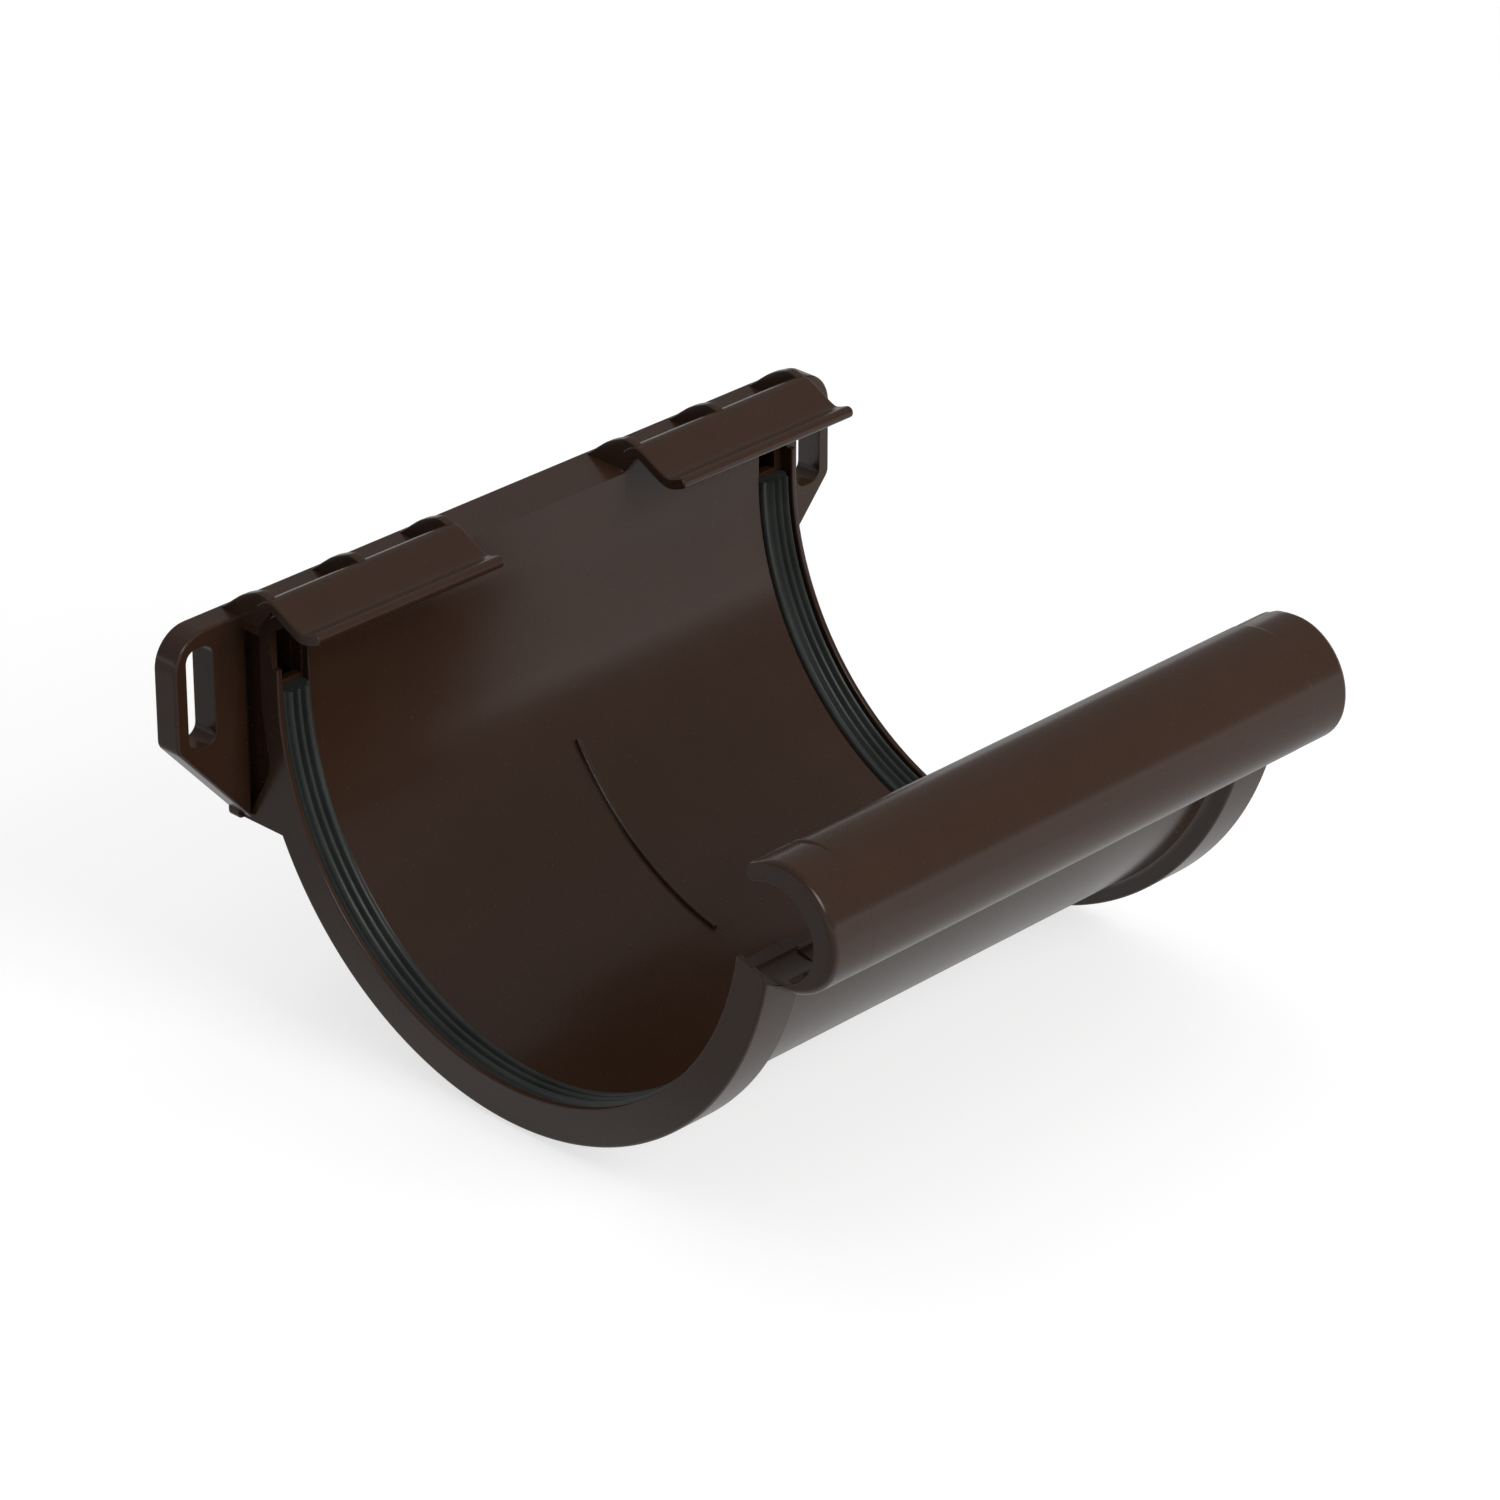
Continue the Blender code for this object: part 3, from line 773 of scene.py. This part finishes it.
@dataclass
class ScrewEar:
    """Ear beyond one end of the wall plate, with an upright slot."""

    side: int  # -1 for the left end, 1 for the right end.
    root: float = 75.0
    sunk: float = 1.0
    reach: float = 92.6
    thickness: float = 6.3
    clear: float = 0.03  # How far its back is in front of the plate's.
    top: float = 14.97
    foot: float = -30.6
    side_foot: float = -9.7
    corners: Point = (3.0, 8.0)  # Radius of its lower and of its upper outer corner.
    slot_centre: Point = (86.05, 0.55)
    slot_size: Point = (7.0, 22.0)
    slot_corner: float = 2.6
    flare: float = 0.15  # Edge radius at the front of the slot.
    past: float = 1.5  # How far the slot's cutter stands out of the ear.

    def turned(self, outline: Outline) -> Outline:
        """Outline on this ear's side."""
        return outline if self.side > 0 else mirrored(outline)

    def steps(self) -> list[Step]:
        """Builds the ear and cuts its slot.

        Returns:
            The solid to add.
        """
        front, back = WALL_FROM_AXIS - self.thickness, WALL_FROM_AXIS - self.clear
        inner, (low, high) = self.root - self.sunk, self.corners
        plate = tidy(rounded([(inner, self.top, 0.0), (inner, self.foot, 0.0),
                              (self.reach, self.side_foot, low), (self.reach, self.top, high)],
                             step=6.0))
        ear = Prism(self.turned(plate), front, back, Plane.FRONT, rounds=(0.7, 0.4))
        (x, z), (width, height) = self.slot_centre, self.slot_size
        signs = ((-1, -1), (1, -1), (1, 1), (-1, 1))
        hole = tidy(rounded([(x + across * width / 2, z + up * height / 2, self.slot_corner)
                             for across, up in signs], step=9.0))
        cutter = Step(self.flared(self.turned(hole), front), Join.CUT)
        return [Step(joined(ear.build(f"ear_{self.side}"), [cutter]))]

    def flared(self, hole: Outline, front: float) -> bpy.types.Object:
        """Cutter for the slot, flared at the front so that its edge is round.

        Args:
            hole: Outline of the slot.
            front: Front face of the ear.

        Returns:
            The cutter.
        """
        flare = self.flare
        rings = [(front + flare * (1 - math.cos(turn)), inset(hole, -flare * (1 - math.sin(turn))))
                 for turn in (math.radians(22.5 * k) for k in range(5))]
        places = [(front - self.past, inset(hole, -flare)), *rings, (WALL_FROM_AXIS + self.past, hole)]
        points = [[Vector((u, y - WALL_FROM_AXIS, v)) for u, v in ring] for y, ring in places]
        return loft(f"slot_{self.side}", points)


@dataclass
class BeadHook:
    """Hook along the front that grips the gutter's bead, with a stepped-in collar at each end."""

    trough: Trough
    outside: Triple = (14.0, -73.9, -0.3)  # Of the middle, as (radius, y, z).
    bore: tuple[float, ...] = (11.0, -73.9, -0.3, -64.0)  # The same with its first angle.
    end_bore: tuple[float, ...] = (9.9, -72.3, -1.5, -63.0)
    under: float = 1.0  # How much nearer to the axis the underside is.
    under_fade: Point = (-165.0, 65.0)  # Angle where it starts to be nearer, and over how many degrees.
    collar_drop: float = 0.42  # How much lower the top of the collars is.
    collar_fade: Point = (248.0, 45.0)  # Degrees back from zero where that starts, and over how many.
    least_drop: float = 0.03  # How much lower a collar is where it looks flush.
    start: float = -70.0
    lip: float = -301.0
    rim_step: float = 3.0
    # Corners inside the trough's wall, as (y, z).
    root: Outline = field(default_factory=lambda: [(-66.4, -11.1), (-66.3, -12.95)])
    edge: float = 0.7
    bore_share: float = 0.35  # Share of the edge radius in a collar's bore.
    edge_fade: float = 3.0  # Distance from the trough over which the edges get round.
    # Degrees from a collar's lip where its edge starts to get round, and over how many.
    lip_fade: Point = (8.0, 25.0)
    least_share: float = 0.1  # Share of the edge radius at that lip.
    collar_in: float = 0.9
    collar_short: float = 0.05  # How far it ends inside the trough's end face.

    def step_at(self, angle: float) -> float:
        """Height of a collar's step at an angle in degrees: flush in front and below."""
        return self.least_drop + self.collar_drop * eased(ramp(-angle, *self.collar_fade))

    def rim(self, collar: bool) -> tuple[Outline, list[float]]:
        """Outside of the hook from the trough to the lip, with its angles.

        Args:
            collar: Whether it is the outside of a collar.

        Returns:
            The points and their angles.
        """
        radius, y, z = self.outside
        count = math.ceil((self.start - self.lip) / self.rim_step)
        angles = [self.start + (self.lip - self.start) * i / count for i in range(count + 1)]
        points = []
        for angle in angles:
            reach = radius - self.under * eased(ramp(angle, *self.under_fade))
            reach -= self.step_at(angle) if collar else 0.0
            turn = math.radians(angle)
            points.append((y + reach * math.cos(turn), z + reach * math.sin(turn)))
        return points, angles

    def round_share(self, point: Point, angle: float, collar: bool) -> float:
        """Share of the edge round, less where the hook leaves the trough and at the collar's lip.

        Args:
            point: Point of the section.
            angle: Its angle round the hook, in degrees.
            collar: Whether it is on a collar.

        Returns:
            The share, from 0 to 1.
        """
        share = 1.0
        if point[1] < 0.0:
            base = self.trough.band + self.trough.flank if collar else self.trough.outer
            share = ramp(math.hypot(*point), base, self.edge_fade)
        if collar:
            return share * max(ramp(angle - self.lip, *self.lip_fade), self.least_share)
        return share * min(self.step_at(angle) / self.edge, 1.0)

    def section(self, collar: bool) -> tuple[Outline, list[float]]:
        """Section of the hook, with the share of the edge round for each point.

        Args:
            collar: Whether it is the section of a collar.

        Returns:
            The outline and the shares.
        """
        bore_radius, y, z, first = self.end_bore if collar else self.bore
        rim, angles = self.rim(collar)
        inside = arc(bore_radius, self.lip, first, (y, z), step=4.0)
        centre = (Vector(rim[-1]) + Vector(inside[0])) / 2
        across = Vector(rim[-1]) - centre
        heading = math.degrees(math.atan2(across.y, across.x))
        lip = arc(across.length, heading, heading - 180.0, tuple(centre), step=18.0)[1:-1]
        outline = rim + lip + inside + self.root
        shares = [self.round_share(p, a, collar) for p, a in zip(rim, angles)]
        bore_share = self.bore_share if collar else 0.0
        inside_shares = [bore_share * self.round_share(p, 0.0, True) for p in inside]
        last, following = shares[-1], inside_shares[0]
        shares += [last + (following - last) * (k + 1) / (len(lip) + 1) for k in range(len(lip))]
        shares += inside_shares + [0.0] * len(self.root)
        if area(outline) < 0:
            outline, shares = outline[::-1], shares[::-1]
        return outline, shares

    def steps(self) -> list[Step]:
        """Builds the hook and its collars.

        Returns:
            The solids to add.
        """
        band = self.trough.half_length - self.trough.band_width
        outline, shares = self.section(False)
        middle = Prism(outline, -band, band, rounds=(self.edge, self.edge), shares=shares)
        steps = [Step(middle.build("hook_middle"))]
        outline, shares = self.section(True)
        inner, outer = band - self.collar_in, self.trough.half_length - self.collar_short
        for side in SIDES:
            collar = Prism(outline, side * inner, side * outer, rounds=(0.0, 1.6), shares=shares,
                           segments=6)
            steps.append(Step(collar.build(f"hook_collar_{side}")))
        return steps


@dataclass
class BackClip:
    """Arched clip over one half of the back wall, on three ribs."""

    side: int  # -1 for the left half, 1 for the right half.
    start: float = 25.3
    end: float = 75.5
    thickness: float = 2.5
    rib: float = 2.0
    rib_in: float = 0.12  # How far the outer ribs are inside the strip's ends.
    rib_bottom: float = 14.0
    curve: Outline = field(default_factory=lambda: [  # Middle line of the strip, as (y, z).
        (50.0, 17.1), (53.7, 16.0), (57.2, 17.3), (60.4, 19.0), (63.2, 19.9), (65.9, 18.2)])
    crest: Outline = field(default_factory=lambda: [  # Upper edge of a rib, as (y, z).
        (77.8, 14.9), (75.8, 16.3), (73.8, 17.9), (71.5, 19.6), (68.8, 21.0), (66.0, 21.9),
        (63.4, 21.4)])
    # Lower edge of a rib in front of the wall, as (y, z).
    foot: Outline = field(default_factory=lambda: [(62.2, 19.5), (63.0, 18.4), (66.7, 14.0)])

    def strip(self) -> Outline:
        """Draws the section of the arched strip, round at both ends.

        Returns:
            The outline.
        """
        half = self.thickness / 2
        path = smooth(self.curve)[:-2]
        left, right = [], []
        for i, point in enumerate(path):
            along = Vector(path[min(i + 1, len(path) - 1)]) - Vector(path[max(i - 1, 0)])
            across = Vector((-along.y, along.x)).normalized() * half
            left.append(tuple(Vector(point) + across))
            right.append(tuple(Vector(point) - across))
        caps = []
        for place, before, after, turn in ((path[0], path[0], path[1], 90.0),
                                           (path[-1], path[-2], path[-1], -90.0)):
            heading = Vector(after) - Vector(before)
            first = math.degrees(math.atan2(heading.y, heading.x)) + turn
            caps.append(arc(half, first, first + 180.0, place, step=15.0))
        return tidy(caps[0] + right[1:-1] + caps[1] + left[-2:0:-1])

    def steps(self) -> list[Step]:
        """Builds the strip and its ribs.

        Returns:
            The solids to add.
        """
        strip = Prism(self.strip(), self.side * self.start, self.side * self.end, rounds=(0.45, 0.45))
        steps = [Step(strip.build(f"clip_{self.side}"))]
        outline = tidy(smooth(self.crest, 5) + self.foot + [(self.crest[0][0], self.rib_bottom)])
        inside = self.rib / 2 + self.rib_in
        places = (self.start + inside, (self.start + self.end) / 2, self.end - inside)
        for index, x in enumerate(places):
            low = self.side * x - self.rib / 2
            rib = Prism(outline, low, low + self.rib, rounds=(0.3, 0.3), segments=2)
            steps.append(Step(rib.build(f"clip_rib_{self.side}_{index}")))
        return steps


@dataclass
class MiddleStop:
    """Low raised stop halfway along the trough."""

    trough: Trough
    width: float = 1.0
    height: float = 1.0
    start: float = -31.7
    end: float = -76.5

    def steps(self) -> list[Step]:
        """Builds the stop.

        Returns:
            The solid to add.
        """
        crest = self.trough.inner - self.height
        outline = tidy(arc(crest, self.start, self.end, step=1.5)
                       + arc(self.trough.inner + OVERLAP, self.end, self.start, step=1.5))
        solid = Prism(outline, -self.width / 2, self.width / 2, rounds=(0.3, 0.3), segments=3)
        return [Step(solid.build("middle_stop"))]


@dataclass
class TopCutBack:
    """Cut-back of the trough's top inner edge under the clips, and a window above each seal."""

    ends: Point = (24.4, 74.0)  # Inner and outer end of the cut-back, from the middle of the union.
    outline: Outline = field(default_factory=lambda: [  # Section that is cut away, as (y, z).
        (62.0, 5.0), (64.96, 5.0), (66.7, 15.5), (62.0, 15.5)])
    window_ends: Point = (64.4, 70.4)  # Inner and outer side of the window.
    window: Outline = field(default_factory=lambda: [  # Section of the window, as (y, z).
        (66.0, 0.4), (69.6, 0.4), (69.6, 11.9), (66.0, 11.9)])

    def steps(self) -> list[Step]:
        """Cuts both sides.

        Returns:
            The solids to cut.
        """
        cuts = (("cut_back", self.outline, self.ends),
                ("seal_window", self.window, self.window_ends))
        return [Step(Prism(tidy(outline), side * low, side * high).build(f"{name}_{side}"),
                     Join.CUT) for side in SIDES for name, outline, (low, high) in cuts]


@dataclass
class MouldedBody:
    """The whole moulding: every rigid sub-assembly joined into one piece."""

    trough: Trough = field(default_factory=Trough)
    finish: MouldedPlastic = field(default_factory=MouldedPlastic)

    def build(self) -> bpy.types.Object:
        """Builds and joins the sub-assemblies.

        Returns:
            The moulding.
        """
        shell = self.trough.shell()
        steps = self.trough.plugs()
        steps += WallPlate(self.trough).steps()
        for side in SIDES:
            steps += ScrewEar(side).steps()
        steps += TopCutBack().steps()
        steps += MiddleStop(self.trough).steps()
        for side in SIDES:
            steps += BackClip(side).steps()
        steps += BeadHook(self.trough).steps()
        mesh = joined(shell, steps).data.copy()
        bpy.data.objects.remove(shell, do_unlink=True)
        return self.cleaned(mesh)

    @staticmethod
    def cleaned(mesh: bpy.types.Mesh) -> bpy.types.Object:
        """Welds the joined mesh and gives it smooth shading.

        Args:
            mesh: Joined mesh.

        Returns:
            The moulding.
        """
        shape = bmesh.new()
        shape.from_mesh(mesh)
        bmesh.ops.remove_doubles(shape, verts=shape.verts, dist=SAME_POINT * MM)
        bmesh.ops.dissolve_degenerate(shape, edges=shape.edges, dist=NO_EDGE * MM)
        body = object_from("moulded_body", shape)
        shaded(body, crease=32.0)
        weighted = body.modifiers.new("flat faces stay flat", "WEIGHTED_NORMAL")
        weighted.keep_sharp = True
        weighted.weight = 60
        return body

    def dress(self, body: bpy.types.Object) -> None:
        """Gives the moulding its plastic and puts it in the solid's place.

        Args:
            body: The moulding.
        """
        body.data.materials.clear()
        body.data.materials.append(self.finish.material())
        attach(body, "root")
        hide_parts("union_body")


@dataclass
class Seal:
    """Ribbed seal in the groove at one end."""

    side: int  # -1 for the left end, 1 for the right end.
    low: float = 64.3
    high: float = 71.9
    base: float = 66.7
    crest: float = 62.9
    valley: float = 64.3
    shoulder: float = 65.2
    chamfer: float = 0.2
    # How far the profile is below the valley at the inner edge and before the shoulder.
    drops: Point = (0.25, 0.5)
    ribs: tuple[float, ...] = (66.2, 68.25, 70.3)
    rib_reach: float = 0.98
    rib_power: float = 0.85  # Power of its cosine curve, which makes it fuller below 1.
    rib_steps: int = 6
    back: float = -0.5
    front_drop: float = 14.35  # How far below the axis its front end lies.
    front_radius: float = 67.0  # Radius where that is measured.
    sweep_steps: int = 120

    def profile(self) -> Outline:
        """Draws the profile along the gutter.

        Returns:
            The profile, as (x, radius).
        """
        first, last = self.drops
        points: Outline = [(self.low, self.base), (self.low, self.valley + first),
                           (self.low + self.chamfer, self.valley)]
        for place in self.ribs:
            for k in range(-self.rib_steps, self.rib_steps + 1):
                lift = (0.5 + 0.5 * math.cos(math.pi * k / self.rib_steps)) ** self.rib_power
                points.append((place + self.rib_reach * k / self.rib_steps,
                               self.valley + (self.crest - self.valley) * lift))
        points += [(self.high - self.chamfer, self.valley + last), (self.high, self.shoulder),
                   (self.high, self.base)]
        return tidy(points)

    def build(self) -> bpy.types.Object:
        """Sweeps the profile round the half circle.

        Returns:
            The seal.
        """
        start = math.asin(self.back / self.crest)
        end = math.asin(self.front_drop / self.front_radius) - math.pi
        profile = self.profile()
        rings = []
        for i in range(self.sweep_steps + 1):
            turn = start + (end - start) * i / self.sweep_steps
            rings.append([Vector((self.side * x, r * math.cos(turn) - WALL_FROM_AXIS,
                                  r * math.sin(turn))) for x, r in profile])
        seal = loft("ribbed_seal_left" if self.side < 0 else "ribbed_seal_right", rings)
        shaded(seal, crease=50.0)
        return seal

    def dress(self, seal: bpy.types.Object, finish: SealRubber) -> None:
        """Gives the seal its rubber and puts it in the solid's place.

        Args:
            seal: The seal.
            finish: Rubber that it is made of.
        """
        seal.data.materials.clear()
        seal.data.materials.append(finish.material())
        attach(seal, "root")
        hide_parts("seal_left" if self.side < 0 else "seal_right")


# Studio.


@dataclass
class SoftLight:
    """Large soft lamp, placed in metres."""

    name: str
    place: Triple
    size: Point
    power: float
    glossy: bool = True  # Whether gloss mirrors it.
    diffuse: bool = True  # Whether it lights matt colour.

    def build(self, aim: Triple) -> None:
        """Hangs the lamp and points it.

        Args:
            aim: Point that it faces, in metres.
        """
        data = bpy.data.lights.new(self.name, "AREA")
        data.shape = "RECTANGLE"
        data.size, data.size_y = self.size
        data.energy = self.power
        lamp = bpy.data.objects.new(self.name, data)
        lamp.location = self.place
        lamp.visible_glossy = self.glossy
        lamp.visible_diffuse = self.diffuse
        ahead = Vector(aim) - Vector(self.place)
        lamp.rotation_euler = ahead.to_track_quat("-Z", "Y").to_euler()
        bpy.context.scene.collection.objects.link(lamp)


@dataclass
class Studio:
    """Pale floor, even surroundings, soft lamps and the camera, all placed in metres."""

    floor_height: float = -0.0725
    seen_glow: float = 0.70  # Glow of the floor that the camera sees.
    mirrored_glow: float = 0.36  # Glow of the floor that gloss mirrors.
    # Painted pool of light in what gloss mirrors: where that glow starts along the gutter and where it is
    # full, in metres; to the left of it the mirrored floor is painted dark.
    left_fade: Point = (-0.12, -0.07)
    # Painted shade in reflections: the mirrored floor dims towards the right by right_dim.
    right_fade: Point = (0.05, 0.14)  # Where it starts to dim and where it is dimmest, in metres.
    right_dim: float = 0.45  # How much of it is lost there.
    # Where the surroundings start to dim and where they are dimmest, as sines.
    horizon: Point = (0.02, 0.16)
    aim: Triple = (0.0, -0.08, -0.02)
    lamps: list[SoftLight] = field(default_factory=lambda: [
        SoftLight("overhead_lamp", (0.1, -0.1, 1.6), (2.4, 2.4), 13.0, glossy=False),
        SoftLight("key_lamp", (0.3, -1.45, 0.85), (1.0, 1.0), 16.0, glossy=False),
        SoftLight("front_lamp", (-0.9, -1.0, 1.1), (0.7, 0.7), 6.0, diffuse=False),
        SoftLight("rear_lamp", (0.3, 1.4, 0.9), (1.0, 1.0), 4.0, glossy=False),
    ])
    eye: Triple = (-0.8398, -0.8933, 0.5879)
    gaze: Triple = (0.6356, 0.6208, -0.4590)
    lens: float = 158.6

    def build(self) -> None:
        """Sets up the floor, the surroundings, the lamps and the camera."""
        self.floor()
        self.surroundings()
        for lamp in self.lamps:
            lamp.build(self.aim)
        self.camera()
        bpy.context.scene.view_settings.view_transform = "Standard"

    def floor(self) -> None:
        """Lays a wide pale floor that keeps the shadow, with a painted pool of light that only gloss
        mirrors.
        """
        shape = bmesh.new()
        bmesh.ops.create_grid(shape, x_segments=1, y_segments=1, size=12.0)
        floor = object_from("studio_floor", shape)
        floor.location.z = self.floor_height
        material = bpy.data.materials.new("pale_floor")
        material.use_nodes = True
        graph = Graph(material.node_tree)
        path = graph.node("ShaderNodeLightPath")
        kinds = ("Is Camera Ray", "Is Glossy Ray", "Is Transmission Ray")
        camera, glossy, through = (Value(graph, path.outputs[kind]) for kind in kinds)
        # Painted reflection: gloss sees the floor bright only in a pool near the gutter, dark to the left
        # and dimmer to the right, which paints shade into what the end faces and the underside mirror.
        along = graph.add("ShaderNodeSeparateXYZ", {0: graph.place()}, "X")
        right = 1.0 - along.over(*self.right_fade) * self.right_dim
        painted_reflection_pool = along.over(*self.left_fade) * right
        share = camera * self.seen_glow + (glossy + through) * painted_reflection_pool * self.mirrored_glow
        diffuse = graph.add("ShaderNodeBsdfDiffuse", {"Color": (0.42, 0.42, 0.42, 1.0)})
        white = graph.add("ShaderNodeEmission")
        glow = graph.add("ShaderNodeMixShader", {0: share, 2: white})
        both = graph.add("ShaderNodeAddShader", {0: diffuse, 1: glow})
        graph.node("ShaderNodeOutputMaterial", {"Surface": both})
        floor.data.materials.append(material)

    def surroundings(self) -> None:
        """Sets up pale walls low down that dim towards the ceiling."""
        world = bpy.data.worlds.new("studio")
        world.use_nodes = True
        bpy.context.scene.world = world
        graph = Graph(world.node_tree)
        direction = graph.add("ShaderNodeTexCoord", output="Generated")
        height = graph.add("ShaderNodeSeparateXYZ", {0: direction}, "Z")
        pale, dim = (1.0, 1.0, 1.0), (0.2, 0.2, 0.2)
        colour = graph.mix(height.over(*self.horizon), pale, dim)
        sky = graph.add("ShaderNodeBackground", {"Color": colour})
        graph.node("ShaderNodeOutputWorld", {"Surface": sky})

    def camera(self) -> None:
        """Puts the camera at the viewing angle of the product picture."""
        data = bpy.data.cameras.new("product_camera")
        data.lens = self.lens
        data.sensor_width = 36.0
        data.clip_start, data.clip_end = 0.05, 50.0
        data.dof.use_dof = False
        camera = bpy.data.objects.new("product_camera", data)
        ahead = Vector(self.gaze).normalized()
        right = ahead.cross(Vector((0.0, 0.0, 1.0))).normalized()
        up = right.cross(ahead)
        turn = Matrix((right, up, -ahead)).transposed().to_4x4()
        camera.matrix_world = Matrix.Translation(Vector(self.eye)) @ turn
        bpy.context.scene.collection.objects.link(camera)
        bpy.context.scene.camera = camera


def main() -> None:
    """Builds, dresses and lights the gutter union."""
    logging.basicConfig(level=logging.INFO, format="%(message)s")
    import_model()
    body = MouldedBody()
    moulding = body.build()
    body.dress(moulding)
    LOG.info("moulded body: %d faces", len(moulding.data.polygons))
    rubber = SealRubber()
    for side in SIDES:
        part = Seal(side)
        seal = part.build()
        part.dress(seal, rubber)
        LOG.info("%s: %d faces", seal.name, len(seal.data.polygons))
    Studio().build()
    LOG.info("studio ready")


if __name__ == "__main__":
    main()
